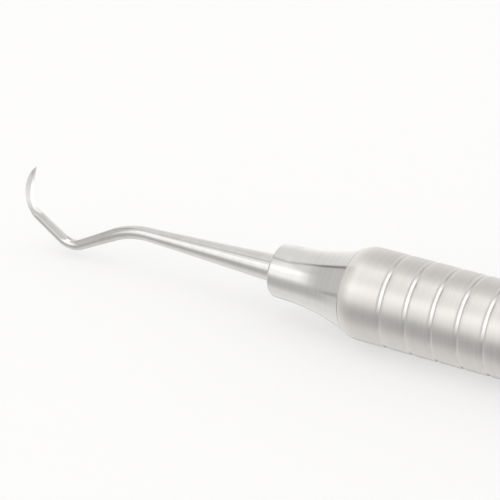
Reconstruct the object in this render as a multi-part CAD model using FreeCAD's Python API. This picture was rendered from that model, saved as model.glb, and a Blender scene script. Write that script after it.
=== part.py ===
import FreeCAD, Part
import math
import os

# Sickle scaler: a hand instrument for scraping teeth. It lies at rest on its handle.
# All lengths are in millimetres and all angles in degrees.
# The handle's axis runs along X, the blade's end is towards -X and its point is up (+Z).
# The origin is under the middle of the overall length, on the surface that the handle lies on.

# Handle tube, turned from thin pipe, with a rounded shoulder in front
handle_d = 10.0
handle_wall = 0.6
handle_length = 116.0
shoulder_radius = 3.0
rear_edge_chamfer = 0.3

# Ring grooves round the handle's front, which are the grip
groove_count = 18
groove_pitch = 3.0
groove_width = 0.8
groove_depth = 0.15
groove_land = 5.0

# Nose cone, turned from bar, between the handle and the shank
nose_length = 9.5
rim_d = 5.8
rim_chamfer = 0.25
rim_cone_length = 2.0
rim_cone_angle = 2.2
seam_step = 0.4
nose_spigot_length = 6.0
spigot_chamfer = 0.4

# Socket in the nose cone, and the tang that is pressed into it
tang_length = 8.0
tang_chamfer = 0.3
socket_bottom_gap = 0.5
socket_mouth_chamfer = 0.12
drill_point_angle = 118.0

# End cap, a plug in the rear of the tube, with a low cone-shaped head as wide as the tube
cap_head_height = 1.4
cap_rim_width = 0.4
cap_flat_d = 5.2
cap_spigot_length = 5.0

# Shank: a tapered bar, straight on the handle's axis and then bent twice in one upright plane
shank_d = 3.05
neck_d = 1.46
elbow_d = 1.17
rim_to_first_corner = 18.5
first_bend_angle = 28.2
first_bend_radius = 9.5
mid_length = 8.67
elbow_angle = 62.6
elbow_radius = 2.4
terminal_length = 5.3

# Blade: the end of the bar, curled up and ground to a three-sided section with a sharp point
blade_bar_d = 1.04
root_turn = 39.0
root_radius = 1.95
blade_turn = 63.0
blade_radius = 4.3
grind_runout = 1.3
runout_power = 2.0
blade_height = 0.84
back_depth = 0.06
point_height = 0.03
back_half_width = 0.07
point_half_width = 0.02
flank_slope = 0.342
face_fall_power = 4.0
back_fall_power = 2.0
blade_stations = 14
grind_margin = 0.04
grind_root_offset = 0.8
same_size = 0.001


def point(x, r):
    return FreeCAD.Vector(x, 0, r)


def line(a, b):
    return Part.makeLine(a, b)


def arc_through(a, b, c):
    return Part.Arc(a, b, c).toShape()


def tangent_arc(centre_x, centre_r, radius, start, end):
    """Arc about a centre, from one angle to another, both measured from +X."""
    def at(angle):
        a = math.radians(angle)
        return point(centre_x + radius * math.cos(a), centre_r + radius * math.sin(a))
    return arc_through(at(start), at((start + end) / 2), at(end))


def turned(edges):
    """Solid of revolution about X from a closed outline."""
    face = Part.Face(Part.Wire(edges))
    solid = face.revolve(FreeCAD.Vector(0, 0, 0), FreeCAD.Vector(1, 0, 0), 360)
    return solid if solid.ShapeType == "Solid" else solid.Solids[0]


# Sizes that follow from the ones above
handle_r = handle_d / 2
bore_r = handle_r - handle_wall
seam_r = handle_r - seam_step
rim_r = rim_d / 2
rim_cone_r = rim_r + (rim_cone_length - rim_chamfer) * math.tan(math.radians(rim_cone_angle))
flare_chord = math.degrees(math.atan2(seam_r - rim_cone_r, nose_length - rim_cone_length))
flare_angle = 2 * flare_chord - rim_cone_angle
handle_start = nose_length
handle_end = handle_start + handle_length


def nose_cone():
    """Front rim, gentle cone, concave flare up to the seam, spigot behind it and blind socket."""
    socket_r = shank_d / 2
    socket_end = tang_length + socket_bottom_gap
    drill_tip = socket_end + socket_r / math.tan(math.radians(drill_point_angle / 2))
    spigot_end = nose_length + nose_spigot_length
    flare_start = point(rim_cone_length, rim_cone_r)
    flare_end = point(nose_length, seam_r)
    chord = flare_end.sub(flare_start)
    half_turn = math.radians(flare_chord - rim_cone_angle)
    sag = chord.Length / 2 * math.tan(half_turn / 2)
    inward = FreeCAD.Vector(chord.z, 0, -chord.x).normalize()
    flare_middle = (flare_start + flare_end) * 0.5 + inward * sag
    edges = [
        line(point(socket_mouth_chamfer, socket_r), point(0, socket_r + socket_mouth_chamfer)),
        line(point(0, socket_r + socket_mouth_chamfer), point(0, rim_r - rim_chamfer)),
        line(point(0, rim_r - rim_chamfer), point(rim_chamfer, rim_r)),
        line(point(rim_chamfer, rim_r), flare_start),
        arc_through(flare_start, flare_middle, flare_end),
        line(flare_end, point(nose_length, bore_r)),
        line(point(nose_length, bore_r), point(spigot_end - spigot_chamfer, bore_r)),
        line(point(spigot_end - spigot_chamfer, bore_r), point(spigot_end, bore_r - spigot_chamfer)),
        line(point(spigot_end, bore_r - spigot_chamfer), point(spigot_end, 0)),
        line(point(spigot_end, 0), point(drill_tip, 0)),
        line(point(drill_tip, 0), point(socket_end, socket_r)),
        line(point(socket_end, socket_r), point(socket_mouth_chamfer, socket_r)),
    ]
    return turned(edges)


def groove_corners(centre_x):
    """Shallow V in the handle's outer line."""
    half = groove_width / 2
    return [
        point(centre_x - half, handle_r),
        point(centre_x, handle_r - groove_depth),
        point(centre_x + half, handle_r),
    ]


def handle_tube():
    """Tube whose outer line is shoulder, lands and grooves, and whose bore is plain."""
    fillet_drop = shoulder_radius * (1 - math.cos(math.radians(flare_angle)))
    cone_run = (handle_r - fillet_drop - seam_r) / math.tan(math.radians(flare_angle))
    fillet_start = handle_start + cone_run
    shoulder_end = fillet_start + shoulder_radius * math.sin(math.radians(flare_angle))
    rear_edge = handle_end - rear_edge_chamfer
    lands = [point(shoulder_end, handle_r)]
    for i in range(groove_count):
        lands += groove_corners(handle_start + groove_land + i * groove_pitch)
    lands += [
        point(rear_edge, handle_r),
        point(handle_end, handle_r - rear_edge_chamfer),
        point(handle_end, bore_r),
    ]
    edges = [
        line(point(handle_start, bore_r), point(handle_start, seam_r)),
        line(point(handle_start, seam_r), point(fillet_start, handle_r - fillet_drop)),
        tangent_arc(shoulder_end, handle_r - shoulder_radius, shoulder_radius, 90 + flare_angle, 90),
    ]
    edges += [line(a, b) for a, b in zip(lands, lands[1:])]
    edges.append(line(point(handle_end, bore_r), point(handle_start, bore_r)))
    return turned(edges)


def end_cap():
    """Plug with a spigot in the bore, a rim flush with the tube, and a low cone with a flat middle."""
    spigot_start = handle_end - cap_spigot_length
    rim_start = handle_end + rear_edge_chamfer
    cap_end = handle_end + cap_head_height
    outline = [
        point(spigot_start, 0),
        point(spigot_start, bore_r - spigot_chamfer),
        point(spigot_start + spigot_chamfer, bore_r),
        point(handle_end, bore_r),
        point(handle_end, handle_r - rear_edge_chamfer),
        point(rim_start, handle_r),
        point(rim_start + cap_rim_width, handle_r),
        point(cap_end, cap_flat_d / 2),
        point(cap_end, 0),
    ]
    return turned([line(a, b) for a, b in zip(outline, outline[1:] + outline[:1])])


def ahead(heading):
    """Direction of travel along the bar: 0 is -X and 90 is up."""
    a = math.radians(heading)
    return FreeCAD.Vector(-math.cos(a), 0, math.sin(a))


def aside(heading):
    """Upper side of the bar, square to its direction in the bend plane."""
    a = math.radians(heading)
    return FreeCAD.Vector(math.sin(a), 0, math.cos(a))


class Bar:
    """Round bar grown along the upright bend plane, run by run and bend by bend."""

    def __init__(self):
        self.place = FreeCAD.Vector(0, 0, 0)
        self.heading = 0.0
        self.length = 0.0
        self.stretches = []
        self.solids = []

    def grow(self, solid, start_length, turn, centre, side):
        self.solids.append(solid)
        self.stretches.append((self.length, start_length, self.place, self.heading, turn, centre, side))
        self.length += start_length

    def run(self, length, start_d, end_d):
        """Straight taper from one diameter to another."""
        direction = ahead(self.heading)
        if abs(start_d - end_d) < same_size:
            solid = Part.makeCylinder(start_d / 2, length, self.place, direction)
        else:
            solid = Part.makeCone(start_d / 2, end_d / 2, length, self.place, direction)
        self.grow(solid, length, 0.0, None, 0.0)
        self.place = self.place + direction * length

    def bend(self, turn, radius, diameter):
        """Round bend: positive turns rise towards the upper side."""
        side = math.copysign(radius, turn)
        centre = self.place + aside(self.heading) * side
        disc = Part.Face(Part.Wire(Part.makeCircle(diameter / 2, self.place, ahead(self.heading))))
        solid = disc.revolve(centre, FreeCAD.Vector(0, 1, 0), turn)
        self.grow(solid, math.radians(abs(turn)) * radius, turn, centre, side)
        self.heading += turn
        self.place = centre - aside(self.heading) * side

    def at(self, s):
        """Place and heading on the centre line at a length s from the rim."""
        for begun, length, place, heading, turn, centre, side in self.stretches:
            if s <= begun + length or begun + length == self.length:
                share = (s - begun) / length
                if centre is None:
                    return place + ahead(heading) * (s - begun), heading
                return centre - aside(heading + share * turn) * side, heading + share * turn


def corner_setback(angle, radius):
    return radius * math.tan(math.radians(angle / 2))


def bent_bar():
    """The whole bar before grinding, and the length at which its curled end begins."""
    first_setback = corner_setback(first_bend_angle, first_bend_radius)
    elbow_setback = corner_setback(elbow_angle, elbow_radius)
    bar = Bar()
    straight = rim_to_first_corner - first_setback
    bar.grow(tang_and_taper(straight), straight, 0.0, None, 0.0)
    bar.place = FreeCAD.Vector(-straight, 0, 0)
    bar.bend(-first_bend_angle, first_bend_radius, neck_d)
    bar.run(mid_length - first_setback - elbow_setback, neck_d, elbow_d)
    bar.bend(elbow_angle, elbow_radius, elbow_d)
    bar.run(terminal_length - elbow_setback, elbow_d, blade_bar_d)
    curl_start = bar.length
    bar.bend(root_turn, root_radius, blade_bar_d)
    bar.bend(blade_turn, blade_radius, blade_bar_d)
    return bar, curl_start


def tang_and_taper(straight):
    """Tang in the socket and the long taper in front of it, turned together."""
    r = shank_d / 2
    edges = [
        line(point(-straight, 0), point(-straight, neck_d / 2)),
        line(point(-straight, neck_d / 2), point(0, r)),
        line(point(0, r), point(tang_length - tang_chamfer, r)),
        line(point(tang_length - tang_chamfer, r), point(tang_length, r - tang_chamfer)),
        line(point(tang_length, r - tang_chamfer), point(tang_length, 0)),
        line(point(tang_length, 0), point(-straight, 0)),
    ]
    return turned(edges)


def grind_section(bar, s, start, root):
    """Outline that is left standing at a length s: a face, two flanks and a narrow back."""
    place, heading = bar.at(s)
    r = blade_bar_d / 2
    uncut = max(0.0, (root - s) / (root - start)) ** runout_power
    along = max(0.0, (s - root) / (bar.length - root))
    clear = r + grind_margin
    height = blade_height + (point_height - blade_height) * along ** face_fall_power
    back = (1 - uncut) * (back_depth - r) - uncut * clear
    face = (1 - uncut) * (back_depth - r + height) + uncut * clear
    narrowing = along ** back_fall_power
    back_half = back_half_width + (point_half_width - back_half_width) * narrowing + uncut * clear
    face_half = back_half + flank_slope * (face - back)
    up = aside(heading)
    side = FreeCAD.Vector(0, 1, 0)
    corners = [
        place + up * face - side * face_half,
        place + up * face + side * face_half,
        place + up * back + side * back_half,
        place + up * back - side * back_half,
    ]
    return Part.makePolygon(corners + corners[:1])


def ground_wedge(bar, start, root):
    """What the grinding wheels leave: the three-sided wedge that narrows to the point."""
    sections = []
    for i in range(blade_stations + 1):
        s = start + (bar.length - start) * i / blade_stations
        sections.append(grind_section(bar, s, start, root))
    return Part.makeLoft(sections, True, False)


def working_end():
    """Tang, bent shank and ground blade, forged as one piece."""
    bar, curl_start = bent_bar()
    root = curl_start + grind_root_offset
    start = root - grind_runout
    blank = bar.solids[0].multiFuse(bar.solids[1:]).removeSplitter()
    place, heading = bar.at(start)
    beyond = Part.makeBox(bar.length, bar.length, bar.length,
                          FreeCAD.Vector(0, -bar.length / 2, -bar.length / 2))
    beyond.rotate(FreeCAD.Vector(0, 0, 0), FreeCAD.Vector(0, 1, 0), 180 + heading)
    beyond.translate(place)
    wedge = ground_wedge(bar, start, root)
    waste = blank.common(beyond).cut(wedge)
    return blank.cut(waste).Solids[0]


def centred(solids):
    """Solids moved to the part's frame: middle of the overall length, handle on the ground."""
    whole = Part.makeCompound(list(solids.values())).optimalBoundingBox(False)
    shift = FreeCAD.Vector(-(whole.XMin + whole.XMax) / 2, 0, handle_r)
    return {node: solid.translated(shift) for node, solid in solids.items()}


if __name__ == "__main__":
    os.makedirs("parts", exist_ok=True)
    pieces = {
        "working_end": working_end(),
        "nose_cone": nose_cone(),
        "handle_tube": handle_tube(),
        "end_cap": end_cap(),
    }
    for node, solid in centred(pieces).items():
        solid.exportStep(os.path.join("parts", node + ".step"))
        box = solid.optimalBoundingBox(False)
        print(node, solid.ShapeType, solid.isValid(), round(solid.Volume, 2),
              round(box.XMin, 3), round(box.XMax, 3), round(box.ZMin, 3), round(box.ZMax, 3))
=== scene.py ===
import bmesh
import bpy
import math
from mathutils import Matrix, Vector


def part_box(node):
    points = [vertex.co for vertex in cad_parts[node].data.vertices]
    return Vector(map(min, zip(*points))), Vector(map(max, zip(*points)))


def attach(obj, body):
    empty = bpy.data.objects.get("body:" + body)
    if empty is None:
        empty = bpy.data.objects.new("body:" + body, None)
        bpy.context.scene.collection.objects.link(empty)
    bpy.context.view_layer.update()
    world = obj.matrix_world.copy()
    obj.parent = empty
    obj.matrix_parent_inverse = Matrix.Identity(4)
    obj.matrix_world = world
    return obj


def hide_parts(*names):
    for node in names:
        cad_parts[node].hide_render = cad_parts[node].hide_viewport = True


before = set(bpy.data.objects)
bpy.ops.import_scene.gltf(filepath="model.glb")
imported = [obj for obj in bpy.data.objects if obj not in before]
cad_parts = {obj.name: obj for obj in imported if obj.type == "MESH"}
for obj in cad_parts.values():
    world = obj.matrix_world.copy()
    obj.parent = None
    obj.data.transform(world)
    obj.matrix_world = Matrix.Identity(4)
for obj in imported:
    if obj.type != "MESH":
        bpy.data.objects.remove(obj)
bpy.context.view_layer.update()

# Sickle scaler. Sizes are in millimetres, measured along the handle's axis from the nose cone's rim.
MM = 0.001
handle_r = 5.0
bore_r = 4.4
seam_r = 4.6
nose_length = 9.5
handle_length = 116.0
shoulder_radius = 3.0
flare_angle = 23.0
groove_count = 18
groove_pitch = 3.0
groove_half = 0.4
groove_bottom_half = 0.15
groove_depth = 0.1
groove_land = 5.0
groove_bright_margin = 0.06
wall_margin = 0.1
rim_r = 2.9
rim_ease = 0.3
rim_cone_length = 2.0
rim_cone_rise = 0.067
rim_cone_angle = 2.2
rim_inset = 0.02
mouth_depth = 0.15
mouth_width = 0.13
mouth_ease = 0.05
seam_ease = 0.03
seam_edge_ease = 0.05
seam_gap = 0.01
nose_spigot_length = 6.0
spigot_chamfer = 0.4
shank_r = 1.525
tang_length = 8.0
socket_bottom_gap = 0.5
drill_tip_depth = 0.916
cap_head_height = 1.4
cap_flat_r = 2.6
cap_rim_width = 0.4
cap_spigot_length = 5.0
cap_rim_ease = 0.1
cap_edge_ease = 0.15
cap_flat_ease = 0.8
rear_edge_chamfer = 0.3
rear_edge_ease = 0.25
rear_face_ease = 0.12
rear_land = 1.0
tang_chamfer = 0.3
run_past_point = 0.3

# The bent bar: straight taper, first bend, middle run, elbow, last run, and the blade's two curls
first_bend = (-28.2, 9.5)
elbow = (62.6, 2.4)
root_curl = (39.0, 1.95)
blade_curl = (63.0, 4.3)
rim_to_first_corner = 18.5
mid_length = 8.67
terminal_length = 5.3
blade_bar_r = 0.52
thickness_along_bar = [
    (0.0, 3.05), (4.0, 2.65), (8.0, 2.26), (12.0, 1.9), (15.5, 1.6),
    (18.5, 1.46), (21.0, 1.4), (24.0, 1.26), (27.5, 1.17), (31.0, 1.08), (33.5, 1.04),
]

# Grinding of the blade
grind_root_offset = 0.8
grind_runout = 1.3
blade_height = 0.84
point_height = 0.03
back_depth = 0.06
back_half_width = 0.07
point_half_width = 0.02
flank_slope = 0.342
grind_margin = 0.04
flank_lean = 0.3

# Longest part of an edge that one rounded corner may use up, and a radius that counts as the axis
longest_setback = 0.48
on_axis = 1e-6

# Angles above which an edge stays sharp, in degrees
turned_crease = 28.0
bar_crease = 30.0
blade_crease = 24.0

tube_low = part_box("handle_tube")[0]
rim_x = tube_low.x / MM - nose_length
handle_start = nose_length
handle_end = handle_start + handle_length


# Shapes

def eased(corners, steps=7):
    """Outline through corners (x, r, ease), each rounded to the radius that it names."""
    points = []
    for i, (x, r, ease) in enumerate(corners):
        here = Vector((x, r))
        if ease <= 0 or i in (0, len(corners) - 1):
            points.append(here)
            continue
        back = Vector(corners[i - 1][:2]) - here
        ahead = Vector(corners[i + 1][:2]) - here
        half = back.angle(ahead) / 2
        setback = min(ease / math.tan(half), longest_setback * back.length, longest_setback * ahead.length)
        radius = setback * math.tan(half)
        back.normalize()
        ahead.normalize()
        centre = here + (back + ahead).normalized() * radius / math.sin(half)
        spoke_in = here + back * setback - centre
        spoke_out = here + ahead * setback - centre
        turn = spoke_in.angle_signed(spoke_out)
        for k in range(steps + 1):
            angle = -turn * k / steps
            c, s = math.cos(angle), math.sin(angle)
            spoke = Vector((spoke_in.x * c - spoke_in.y * s, spoke_in.x * s + spoke_in.y * c))
            points.append(centre + spoke)
    return points


def finish_mesh(name, verts, faces, crease=turned_crease):
    """Mesh object in metres from points in millimetres, smooth except across sharp edges."""
    mesh = bpy.data.meshes.new(name)
    mesh.from_pydata([tuple(c * MM for c in v) for v in verts], [], faces)
    shell = bmesh.new()
    shell.from_mesh(mesh)
    bmesh.ops.recalc_face_normals(shell, faces=shell.faces)
    shell.to_mesh(mesh)
    shell.free()
    mesh.shade_smooth()
    mesh.set_sharp_from_angle(angle=math.radians(crease))
    piece = bpy.data.objects.new(name, mesh)
    bpy.context.scene.collection.objects.link(piece)
    return piece


def turned(name, outline, around=192):
    """Piece turned about the handle's axis from a closed outline of (x, r) points."""
    verts, rings, faces = [], [], []
    for p in outline:
        x = rim_x + p[0]
        if p[1] < on_axis:
            rings.append([len(verts)] * around)
            verts.append((x, 0.0, handle_r))
            continue
        rings.append(list(range(len(verts), len(verts) + around)))
        for k in range(around):
            angle = 2 * math.pi * k / around
            verts.append((x, p[1] * math.cos(angle), handle_r + p[1] * math.sin(angle)))
    for i, ring in enumerate(rings):
        after = rings[(i + 1) % len(rings)]
        if ring[0] == ring[1] and after[0] == after[1]:
            continue
        for k in range(around):
            m = (k + 1) % around
            corners = [ring[k], ring[m], after[m], after[k]]
            corners = [c for j, c in enumerate(corners) if c not in corners[:j]]
            faces.append(tuple(corners))
    return finish_mesh(name, verts, faces)


def groove_dip(across):
    """Depth of a ring groove at a distance from its middle: slanted sides with soft corners."""
    share = (groove_half - abs(across)) / (groove_half - groove_bottom_half)
    share = max(0.0, min(1.0, share))
    return groove_depth * share * share * (3 - 2 * share)


def nose_cone():
    """Rim, gentle cone, concave flare, spigot behind the seam, and the socket of the shank."""
    cone_r = rim_r + rim_cone_rise
    chord = Vector((nose_length - rim_cone_length, seam_r - cone_r))
    start = math.radians(rim_cone_angle)
    turn = 2 * (math.atan2(chord.y, chord.x) - start)
    radius = chord.length / (2 * math.sin(turn / 2))
    flare = []
    steps = 36
    for k in range(steps + 1):
        a = start + turn * k / steps
        x = rim_cone_length + radius * (math.sin(a) - math.sin(start))
        r = cone_r + radius * (math.cos(start) - math.cos(a))
        flare.append((x, r, 0.0))
    socket_end = tang_length + socket_bottom_gap
    spigot_end = nose_length + nose_spigot_length
    last_x, last_r, _ = flare[-1]
    corners = [
        (mouth_depth, shank_r, 0.0),
        (mouth_depth - mouth_width, shank_r + mouth_width, mouth_ease),
        (0.0, rim_r - rim_inset, rim_ease),
    ]
    corners += flare[:-1]
    corners += [
        (last_x - 2 * seam_gap, last_r - seam_gap, seam_ease),
        (last_x - seam_gap, bore_r + 2 * seam_gap, 0.0),
        (nose_length, bore_r, 0.0),
        (spigot_end - spigot_chamfer, bore_r, 0.0),
        (spigot_end, bore_r - spigot_chamfer, 0.0),
        (spigot_end, 0.0, 0.0),
        (socket_end + drill_tip_depth, 0.0, 0.0),
        (socket_end, shank_r, 0.0),
    ]
    return turned("nose_cone_turned", eased(corners))


def handle_tube():
    """Tube with a rounded shoulder, ring grooves over the grip and a plain rear."""
    slope = math.radians(flare_angle)
    drop = shoulder_radius * (1 - math.cos(slope))
    cone_run = (handle_r - drop - seam_r) / math.tan(slope)
    fillet_start = handle_start + cone_run
    shoulder_end = fillet_start + shoulder_radius * math.sin(slope)
    corners = [
        (handle_start, bore_r, 0.0),
        (handle_start, seam_r - 2 * seam_gap, seam_edge_ease),
        (fillet_start, handle_r - drop, 0.0),
    ]
    for k in range(1, 11):
        a = slope * (1 - k / 10)
        corners.append((shoulder_end - shoulder_radius * math.sin(a),
                        handle_r - shoulder_radius * (1 - math.cos(a)), 0.0))
    samples = 16
    for i in range(groove_count):
        centre = handle_start + groove_land + i * groove_pitch
        for k in range(samples + 1):
            across = groove_half * (2 * k / samples - 1)
            corners.append((centre + across, handle_r - groove_dip(across), 0.0))
        for k in range(1, 4):
            land = (groove_pitch - 2 * groove_half) * k / 4
            corners.append((centre + groove_half + land, handle_r, 0.0))
    start = corners[-1][0]
    plain = handle_end - rear_land - start
    for k in range(1, 9):
        corners.append((start + plain * k / 8, handle_r, 0.0))
    corners += [
        (handle_end - rear_edge_chamfer, handle_r, rear_edge_ease),
        (handle_end, handle_r - rear_edge_chamfer, rear_face_ease),
        (handle_end, bore_r, 0.0),
    ]
    return turned("handle_tube_turned", eased(corners))


def end_cap():
    """Plug with a spigot in the tube, a rim flush with the handle, and a low cone with a flat middle."""
    spigot_start = handle_end - cap_spigot_length
    rim_start = handle_end + rear_edge_chamfer
    cap_end = handle_end + cap_head_height
    corners = [
        (spigot_start, 0.0, 0.0),
        (spigot_start, bore_r - spigot_chamfer, 0.0),
        (spigot_start + spigot_chamfer, bore_r, 0.0),
        (handle_end, bore_r, 0.0),
        (handle_end, handle_r - rear_edge_chamfer, 0.0),
        (rim_start, handle_r, cap_rim_ease),
        (rim_start + cap_rim_width, handle_r, cap_edge_ease),
        (cap_end, cap_flat_r, cap_flat_ease),
        (cap_end, 0.0, 0.0),
    ]
    return turned("end_cap_turned", eased(corners))


def ahead(heading):
    """Direction along the bar, away from the handle, at a heading in degrees above the handle's axis."""
    a = math.radians(heading)
    return Vector((-math.cos(a), 0.0, math.sin(a)))


def aside(heading):
    """Direction across the bar, on the side towards which the blade curls."""
    a = math.radians(heading)
    return Vector((math.sin(a), 0.0, math.cos(a)))


def corner_setback(bend):
    """Length from a bend's corner back to where the bend starts."""
    return bend[1] * math.tan(math.radians(abs(bend[0]) / 2))


def bar_path():
    """The bar's stretches: (starts at, length, place, heading, turn, signed radius)."""
    straight = rim_to_first_corner - corner_setback(first_bend)
    plan = [
        (straight, None),
        (0.0, first_bend),
        (mid_length - corner_setback(first_bend) - corner_setback(elbow), None),
        (0.0, elbow),
        (terminal_length - corner_setback(elbow), None),
        (0.0, root_curl),
        (0.0, blade_curl),
    ]
    stretches, s, place, heading = [], 0.0, Vector((0.0, 0.0, 0.0)), 0.0
    for length, bend in plan:
        if bend is None:
            stretches.append((s, length, place, heading, 0.0, 0.0))
            place = place + ahead(heading) * length
            s += length
            continue
        turn, radius = bend
        signed = math.copysign(radius, turn)
        length = math.radians(abs(turn)) * radius
        stretches.append((s, length, place, heading, turn, signed))
        centre = place + aside(heading) * signed
        heading += turn
        place = centre - aside(heading) * signed
        s += length
    return stretches


bar = bar_path()
bar_length = bar[-1][0] + bar[-1][1]
curl_start = bar[5][0]


def along_bar(s):
    """Place and heading of the centre line at a length s from the rim. Past the point it runs straight."""
    for begun, length, place, heading, turn, signed in bar:
        if s <= begun + length:
            if turn == 0.0:
                return place + ahead(heading) * (s - begun), heading
            share = (s - begun) / length
            centre = place + aside(heading) * signed
            now = heading + share * turn
            return centre - aside(now) * signed, now
    begun, length, place, heading, turn, signed = bar[-1]
    centre = place + aside(heading) * signed
    end = heading + turn
    return centre - aside(end) * signed + ahead(end) * (s - begun - length), end


def bar_radius(s):
    """Radius of the bar at a length s, eased between the measured thicknesses."""
    table = thickness_along_bar
    if s <= 0:
        return shank_r
    if s >= table[-1][0]:
        return blade_bar_r
    for i in range(len(table) - 1):
        s0, d0 = table[i]
        s1, d1 = table[i + 1]
        if s <= s1:
            before = table[i - 1] if i else table[i]
            after = table[i + 2] if i + 2 < len(table) else table[i + 1]
            span = s1 - s0
            m0 = (d1 - before[1]) / (s1 - before[0]) * span
            m1 = (after[1] - d0) / (after[0] - s0) * span
            t = (s - s0) / span
            d = ((2 * t ** 3 - 3 * t ** 2 + 1) * d0 + (t ** 3 - 2 * t ** 2 + t) * m0
                 + (3 * t ** 2 - 2 * t ** 3) * d1 + (t ** 3 - t ** 2) * m1)
            return d / 2


def swept_bar(around=112):
    """The whole bar before grinding, run on a little past the point."""
    stations = [(-tang_length, shank_r - tang_chamfer), (-tang_length + tang_chamfer, shank_r)]
    steps = 460
    for k in range(steps + 1):
        s = bar_length * k / steps
        stations.append((s, bar_radius(s)))
    stations.append((bar_length + run_past_point, blade_bar_r))
    verts, faces = [], []
    for s, r in stations:
        place, heading = along_bar(s)
        up = aside(heading)
        for k in range(around):
            a = 2 * math.pi * k / around
            p = place + up * (r * math.sin(a))
            verts.append((rim_x + p.x, r * math.cos(a), handle_r + p.z))
    for i in range(len(stations) - 1):
        for k in range(around):
            m = (k + 1) % around
            faces.append((i * around + k, i * around + m, (i + 1) * around + m, (i + 1) * around + k))
    faces.append(tuple(range(around))[::-1])
    last = (len(stations) - 1) * around
    faces.append(tuple(range(last, last + around)))
    return finish_mesh("bar_before_grinding", verts, faces, bar_crease)


def left_standing(stations=72):
    """What the grinding wheels leave: all of the shank, and the three-sided wedge of the blade."""
    root = curl_start + grind_root_offset
    start = root - grind_runout
    clear = blade_bar_r + grind_margin
    far = 60.0
    place, heading = along_bar(start)
    up = aside(heading)
    sections = []
    for back_by in (far, 0.0):
        middle = place - ahead(heading) * back_by
        sections.append([middle + up * (a * far) + Vector((0.0, b * far, 0.0))
                         for a, b in ((1, -1), (1, 1), (-1, 1), (-1, -1))])
    for i in range(stations + 1):
        s = start + (bar_length - start) * i / stations
        place, heading = along_bar(s)
        up = aside(heading)
        uncut = max(0.0, (root - s) / (root - start)) ** 2
        share = max(0.0, (s - root) / (bar_length - root))
        height = blade_height + (point_height - blade_height) * share ** 4
        back = (1 - uncut) * (back_depth - blade_bar_r) - uncut * clear
        face = (1 - uncut) * (back_depth - blade_bar_r + height) + uncut * clear
        back_half = back_half_width + (point_half_width - back_half_width) * share ** 2 + uncut * clear
        face_half = back_half + flank_slope * (face - back)
        corners = ((face, -face_half), (face, face_half), (back, back_half), (back, -back_half))
        sections.append([place + up * a + Vector((0.0, b, 0.0)) for a, b in corners])
    verts = [(rim_x + p.x, p.y, handle_r + p.z) for section in sections for p in section]
    faces = [(0, 1, 2, 3)]
    for i in range(len(sections) - 1):
        for k in range(4):
            m = (k + 1) % 4
            faces.append((4 * i + k, 4 * (i + 1) + k, 4 * (i + 1) + m, 4 * i + m))
    last = 4 * (len(sections) - 1)
    faces.append((last + 3, last + 2, last + 1, last))
    return finish_mesh("left_standing", verts, faces)


def working_end():
    """The bar with its end ground to a curled, pointed, three-sided blade."""
    bar_piece = swept_bar()
    wedge = left_standing()
    bar_piece.data.materials.append(polished_steel)
    wedge.data.materials.append(ground_steel_painted_highlight)
    wedge.data.materials.append(flank_steel_painted_highlight)
    # Faces that look sideways take the flank steel. The face and back keep the near-white tint, a painted
    # highlight.
    for polygon in wedge.data.polygons:
        if abs(polygon.normal.y) > flank_lean:
            polygon.material_index = 1
    cut = bar_piece.modifiers.new("grinding", "BOOLEAN")
    cut.operation = "INTERSECT"
    cut.solver = "EXACT"
    cut.material_mode = "TRANSFER"
    cut.object = wedge
    bpy.context.view_layer.update()
    ground = bar_piece.evaluated_get(bpy.context.evaluated_depsgraph_get())
    mesh = bpy.data.meshes.new_from_object(ground)
    mesh.name = "working_end_ground"
    bpy.data.objects.remove(wedge)
    bpy.data.objects.remove(bar_piece)
    mesh.shade_smooth()
    mesh.set_sharp_from_angle(angle=math.radians(blade_crease))
    piece = bpy.data.objects.new("working_end_ground", mesh)
    bpy.context.scene.collection.objects.link(piece)
    return piece


# Materials

def shader_group(name, inputs, outputs):
    """Empty shader node group with the named inputs (name, kind, default) and outputs (name, kind)."""
    group = bpy.data.node_groups.new(name, "ShaderNodeTree")
    for label, kind, value in inputs:
        socket = group.interface.new_socket(name=label, in_out="INPUT", socket_type=kind)
        socket.default_value = value
    for label, kind in outputs:
        group.interface.new_socket(name=label, in_out="OUTPUT", socket_type=kind)
    return group, group.nodes.new("NodeGroupInput"), group.nodes.new("NodeGroupOutput")


def math_node(tree, operation, a, b=None, clamp=False):
    """Result of a maths node whose inputs are sockets or plain numbers."""
    node = tree.nodes.new("ShaderNodeMath")
    node.operation = operation
    node.use_clamp = clamp
    for i, value in enumerate((a, b)):
        if value is None:
            continue
        if isinstance(value, (int, float)):
            node.inputs[i].default_value = value
        else:
            tree.links.new(value, node.inputs[i])
    return node.outputs[0]


def added(tree, base, factor, share):
    """Base plus factor times share, where the factor is a plain number."""
    total = math_node(tree, "MULTIPLY_ADD", share, factor)
    if isinstance(base, float):
        total.node.inputs[2].default_value = base
    else:
        tree.links.new(base, total.node.inputs[2])
    return total


def rise(tree, value, start, end):
    """Soft step from 0 at start to 1 at end."""
    node = tree.nodes.new("ShaderNodeMapRange")
    node.interpolation_type = "SMOOTHSTEP"
    node.inputs["From Min"].default_value = start
    node.inputs["From Max"].default_value = end
    tree.links.new(value, node.inputs["Value"])
    return node.outputs["Result"]


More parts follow.
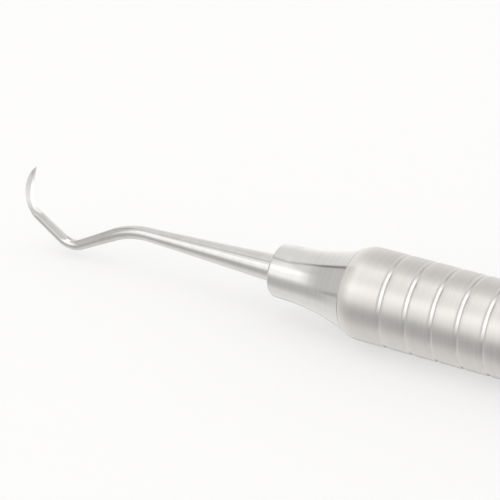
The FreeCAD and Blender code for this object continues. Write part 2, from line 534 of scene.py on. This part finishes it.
def steel_marks():
    """Marks left by working the metal: fine lines across a stretched grain, and slow cloudy patches."""
    group, given, result = shader_group("steel_marks", [
        ("Grain", "NodeSocketVector", (1.0, 1.0, 1.0)),
        ("Line Scale", "NodeSocketFloat", 1.0),
        ("Cloud Scale", "NodeSocketFloat", 120.0),
    ], [("Lines", "NodeSocketFloat"), ("Clouds", "NodeSocketFloat")])
    place = group.nodes.new("ShaderNodeTexCoord")
    stretch = group.nodes.new("ShaderNodeVectorMath")
    stretch.operation = "MULTIPLY"
    group.links.new(place.outputs["Object"], stretch.inputs[0])
    group.links.new(given.outputs["Grain"], stretch.inputs[1])
    lines = group.nodes.new("ShaderNodeTexNoise")
    lines.inputs["Detail"].default_value = 5.0
    lines.inputs["Roughness"].default_value = 0.65
    group.links.new(stretch.outputs[0], lines.inputs["Vector"])
    group.links.new(given.outputs["Line Scale"], lines.inputs["Scale"])
    clouds = group.nodes.new("ShaderNodeTexNoise")
    clouds.inputs["Detail"].default_value = 3.0
    group.links.new(place.outputs["Object"], clouds.inputs["Vector"])
    group.links.new(given.outputs["Cloud Scale"], clouds.inputs["Scale"])
    group.links.new(lines.outputs["Fac"], result.inputs["Lines"])
    group.links.new(clouds.outputs["Fac"], result.inputs["Clouds"])
    return group


marks = steel_marks()
line_share = 0.55
darkest_mark = 0.3
lightest_mark = 0.7
quarter_turn = 0.25


def steel(name, tint_dark, tint_light, roughness, spread, depth, cloud_scale,
          grain=(1.0, 1.0, 1.0), line_scale=1.0, anisotropy=0.0, painted_highlight=None):
    """Bare steel: its tint and roughness wander with the marks, and the lines stand out as fine relief.
    The depth of the relief is in metres. A painted highlight can raise the tint along an axis, between two
    places in millimetres, by a share of its tint.
    """
    material = bpy.data.materials.new(name)
    material.use_nodes = True
    tree = material.node_tree
    shader = tree.nodes["Principled BSDF"]
    shader.inputs["Metallic"].default_value = 1.0
    if anisotropy:
        shader.inputs["Anisotropic"].default_value = anisotropy
        shader.inputs["Anisotropic Rotation"].default_value = quarter_turn
        around = tree.nodes.new("ShaderNodeTangent")
        around.direction_type = "RADIAL"
        around.axis = "X"
        tree.links.new(around.outputs["Tangent"], shader.inputs["Tangent"])
    worked = tree.nodes.new("ShaderNodeGroup")
    worked.node_tree = marks
    worked.inputs["Grain"].default_value = grain
    worked.inputs["Line Scale"].default_value = line_scale
    worked.inputs["Cloud Scale"].default_value = cloud_scale
    mixed = math_node(tree, "ADD", math_node(tree, "MULTIPLY", worked.outputs["Lines"], line_share),
                      math_node(tree, "MULTIPLY", worked.outputs["Clouds"], 1.0 - line_share))
    tint = tree.nodes.new("ShaderNodeValToRGB")
    tint.color_ramp.elements[0].position = darkest_mark
    tint.color_ramp.elements[0].color = (*tint_dark, 1.0)
    tint.color_ramp.elements[1].position = lightest_mark
    tint.color_ramp.elements[1].color = (*tint_light, 1.0)
    tree.links.new(mixed, tint.inputs["Fac"])
    colour = tint.outputs["Color"]
    # Painted highlight: the tint is scaled up along an axis between two places.
    if painted_highlight:
        axis, start, end, gain = painted_highlight
        place = tree.nodes.new("ShaderNodeTexCoord")
        split = tree.nodes.new("ShaderNodeSeparateXYZ")
        tree.links.new(place.outputs["Object"], split.inputs[0])
        share = rise(tree, split.outputs[axis], start * MM, end * MM)
        factor = added(tree, 1.0, gain, share)
        scaled = tree.nodes.new("ShaderNodeVectorMath")
        scaled.operation = "SCALE"
        tree.links.new(colour, scaled.inputs[0])
        tree.links.new(factor, scaled.inputs["Scale"])
        colour = scaled.outputs[0]
    tree.links.new(colour, shader.inputs["Base Color"])
    wander = math_node(tree, "MULTIPLY", math_node(tree, "SUBTRACT", mixed, 0.5), spread)
    tree.links.new(math_node(tree, "ADD", wander, roughness, clamp=True), shader.inputs["Roughness"])
    relief = tree.nodes.new("ShaderNodeBump")
    relief.inputs["Strength"].default_value = 1.0
    relief.inputs["Distance"].default_value = depth
    tree.links.new(worked.outputs["Lines"], relief.inputs["Height"])
    tree.links.new(relief.outputs["Normal"], shader.inputs["Normal"])
    return material


# Painted highlight on the handle's shoulder: the satin tint is raised by 13% towards the nose.
painted_shoulder_highlight = ("X", rim_x + 12.5, rim_x + 9.0, 0.13)
# Painted highlight on the blade's flanks: their tint rises by as much as half again with height towards
# the point.
painted_point_highlight = ("Z", 3.9, 5.7, 0.52)
polished_steel = steel(
    "polished_steel", (0.67, 0.66, 0.65), (0.77, 0.76, 0.74), roughness=0.13, spread=0.12,
    depth=0.0000015, cloud_scale=160.0, line_scale=900.0)
turned_polished_steel = steel(
    "turned_polished_steel", (0.70, 0.69, 0.68), (0.80, 0.79, 0.77), roughness=0.12, spread=0.12,
    depth=0.000002, cloud_scale=160.0, grain=(6000.0, 40.0, 40.0))
satin_steel = steel(
    "satin_steel", (0.69, 0.672, 0.648), (0.828, 0.808, 0.782), roughness=0.37, spread=0.16,
    depth=0.000006, cloud_scale=140.0, grain=(5000.0, 60.0, 60.0), anisotropy=0.8,
    painted_highlight=painted_shoulder_highlight)
bright_groove_steel = steel(
    "bright_groove_steel", (0.68, 0.67, 0.66), (0.76, 0.75, 0.74), roughness=0.2, spread=0.1,
    depth=0.000002, cloud_scale=140.0, grain=(9000.0, 60.0, 60.0))
# Ground steel of the blade's face and back: a near-white tint, a painted highlight.
ground_steel_painted_highlight = steel(
    "ground_steel_painted_highlight", (0.93, 0.925, 0.915), (0.99, 0.985, 0.98), roughness=0.1, spread=0.1,
    depth=0.0000008, cloud_scale=300.0, line_scale=2500.0)
# Flank steel: plain grey steel with a painted highlight towards the point.
flank_steel_painted_highlight = steel(
    "flank_steel_painted_highlight", (0.61, 0.605, 0.6), (0.645, 0.64, 0.635), roughness=0.1, spread=0.1,
    depth=0.0000008, cloud_scale=300.0, line_scale=2500.0, painted_highlight=painted_point_highlight)


# Pieces

blade_piece = working_end()
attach(blade_piece, "root")
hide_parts("working_end")

nose_piece = nose_cone()
nose_piece.data.materials.append(turned_polished_steel)
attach(nose_piece, "root")
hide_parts("nose_cone")

tube_piece = handle_tube()
tube_piece.data.materials.append(satin_steel)
tube_piece.data.materials.append(bright_groove_steel)
bright_half = groove_bottom_half + groove_bright_margin
outer_wall_from = handle_r - groove_depth - wall_margin
for polygon in tube_piece.data.polygons:
    c = polygon.center / MM
    if math.hypot(c.y, c.z - handle_r) > outer_wall_from:
        place = (c.x - rim_x - handle_start - groove_land) / groove_pitch
        nearest = round(place)
        if 0 <= nearest < groove_count and abs(place - nearest) * groove_pitch < bright_half:
            polygon.material_index = 1
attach(tube_piece, "root")
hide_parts("handle_tube")

cap_piece = end_cap()
cap_piece.data.materials.append(turned_polished_steel)
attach(cap_piece, "root")
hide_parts("end_cap")


# Floor, light and camera

def pale_floor():
    """Plain pale floor that the handle lies on. It shows near white and keeps the soft shadow."""
    half = 1.5
    grey, glow = 0.6, 0.42
    corners = [(-half, -half, 0.0), (half, -half, 0.0), (half, half, 0.0), (-half, half, 0.0)]
    mesh = bpy.data.meshes.new("floor")
    mesh.from_pydata(corners, [], [(0, 1, 2, 3)])
    floor = bpy.data.objects.new("floor", mesh)
    bpy.context.scene.collection.objects.link(floor)
    paper = bpy.data.materials.new("pale_paper")
    paper.use_nodes = True
    tree = paper.node_tree
    shader = tree.nodes["Principled BSDF"]
    shader.inputs["Base Color"].default_value = (grey, grey, grey, 1.0)
    shader.inputs["Roughness"].default_value = 0.9
    shader.inputs["Specular IOR Level"].default_value = 0.1
    shader.inputs["Emission Color"].default_value = (1.0, 1.0, 1.0, 1.0)
    path = tree.nodes.new("ShaderNodeLightPath")
    seen = math_node(tree, "MAXIMUM", path.outputs["Is Camera Ray"], path.outputs["Is Glossy Ray"])
    seen = math_node(tree, "MAXIMUM", seen, path.outputs["Is Transmission Ray"])
    tree.links.new(math_node(tree, "MULTIPLY", seen, glow), shader.inputs["Emission Strength"])
    mesh.materials.append(paper)
    floor.visible_glossy = False


# The studio by direction: a plain surround, and what each panel or dim stretch adds to it. Each share of
# light is kept to its place by soft steps (measure, none at, full at). The turn goes round the handle's
# axis in degrees, from 0 at the back over 90 overhead and 180 in front to 270 below. X, Y and Z are those
# of the direction. The line is a slanted edge near the blade's end, where two panels meet.
surround = 0.87
near_side = [("X", -0.48, -0.44), ("X", -0.02, -0.15)]
far_end = [("X", -0.76, -0.88)]
panel_gap = [("line", -0.1, -0.02), ("line", 0.1, 0.02), ("Z", 0.1, 0.3), ("X", -0.42, -0.48)]
table = [("turn", 176, 200), ("turn", 250, 214)]
studio_light = [
    (0.3, [("turn", 60, -20), ("turn", -58, -30)]),
    (0.34, [("turn", 127, 141), ("turn", 187, 168), ("X", -0.81, -0.63), ("X", 0.0, -0.15)]),
    (-0.08, [("turn", 60, 90), ("X", -0.15, 0.0)]),
    (-0.22, [("line", 0.03, -0.04), ("turn", 200, 175), ("X", -0.66, -0.78)]),
    (0.43, [("turn", 72, 92), ("turn", 176, 150)] + near_side),
    (0.45, [("turn", 80, 98), ("turn", 124, 108)] + near_side),
    (-0.25, [("turn", 78, 58)] + near_side),
    (-0.1, [("turn", 180, 196)] + near_side),
    (-0.45, [("Y", 0.5, 0.65), ("Z", -0.35, -0.5), ("X", 0.35, 0.18)]),
    (-0.31, panel_gap),
    (-0.2, panel_gap + [("X", -0.6, -0.78)]),
    (-0.29, table),
    (0.12, table + [("turn", 196, 208)] + far_end),
    (-0.14, [("turn", 184, 192), ("turn", 206, 197)] + far_end),
    (0.06, [("turn", 240, 290)]),
]
line_slope = 1.31
line_offset = 0.955
turn_low, turn_high = -60.0, 300.0


def studio_world():
    """Soft panels along the instrument, laid out by direction."""
    world = bpy.data.worlds.new("studio")
    bpy.context.scene.world = world
    world.use_nodes = True
    tree = world.node_tree
    place = tree.nodes.new("ShaderNodeTexCoord")
    split = tree.nodes.new("ShaderNodeSeparateXYZ")
    tree.links.new(place.outputs["Generated"], split.inputs[0])
    measures = {axis: split.outputs[axis] for axis in "XYZ"}
    angle = math_node(tree, "ARCTAN2", measures["Z"], measures["Y"])
    measures["turn"] = math_node(tree, "WRAP", angle, math.radians(turn_high))
    measures["turn"].node.inputs[2].default_value = math.radians(turn_low)
    slanted = added(tree, line_offset, line_slope, measures["X"])
    measures["line"] = math_node(tree, "ADD", slanted, measures["Y"])
    level = surround
    for amount, steps in studio_light:
        share = None
        for measure, start, end in steps:
            if measure == "turn":
                start, end = math.radians(start), math.radians(end)
            step = rise(tree, measures[measure], start, end)
            share = step if share is None else math_node(tree, "MULTIPLY", share, step)
        level = added(tree, level, amount, share)
    background = tree.nodes["Background"]
    background.inputs["Color"].default_value = (1.0, 0.992, 0.98, 1.0)
    tree.links.new(level, background.inputs["Strength"])


def softbox(name, place, aim, size, power):
    """Rectangular soft lamp at a place, aimed at another, with its size in metres and power in watts."""
    lamp = bpy.data.lights.new(name, "AREA")
    lamp.shape = "RECTANGLE"
    lamp.size, lamp.size_y = size
    lamp.energy = power
    box = bpy.data.objects.new(name, lamp)
    bpy.context.scene.collection.objects.link(box)
    box.location = place
    box.rotation_euler = (Vector(aim) - Vector(place)).to_track_quat("-Z", "Y").to_euler()


def camera():
    """Camera at the photograph's angle, solved from the handle's outline and ring ellipses."""
    azimuth, elevation = math.radians(30.34), math.radians(27.15)
    distance, focal_pixels, frame_pixels = 406.5, 3894.1, 500.0
    aim_from_rim, aside_by, up_by = 10.25, -11.932, 4.422
    aimed_at = Vector((rim_x + aim_from_rim, 0.0, handle_r))
    back = Vector((math.sin(azimuth) * math.cos(elevation), -math.cos(azimuth) * math.cos(elevation),
                   math.sin(elevation)))
    right = Vector((math.cos(azimuth), math.sin(azimuth), 0.0))
    upward = back.cross(right)
    place = (aimed_at + back * distance + right * aside_by + upward * up_by) * MM
    lens = bpy.data.cameras.new("camera")
    lens.sensor_fit = "HORIZONTAL"
    lens.sensor_width = 36.0
    lens.lens = focal_pixels / frame_pixels * lens.sensor_width
    lens.clip_start = 0.01
    lens.clip_end = 20.0
    viewer = bpy.data.objects.new("camera", lens)
    bpy.context.scene.collection.objects.link(viewer)
    viewer.location = place
    viewer.rotation_euler = back.to_track_quat("Z", "Y").to_euler()
    bpy.context.scene.camera = viewer


pale_floor()
studio_world()
softbox("front_softbox", place=(-0.3, -0.55, 0.5), aim=(0.0, 0.0, 0.0), size=(0.6, 0.5), power=0.15)
camera()
bpy.context.scene.view_settings.view_transform = "Standard"
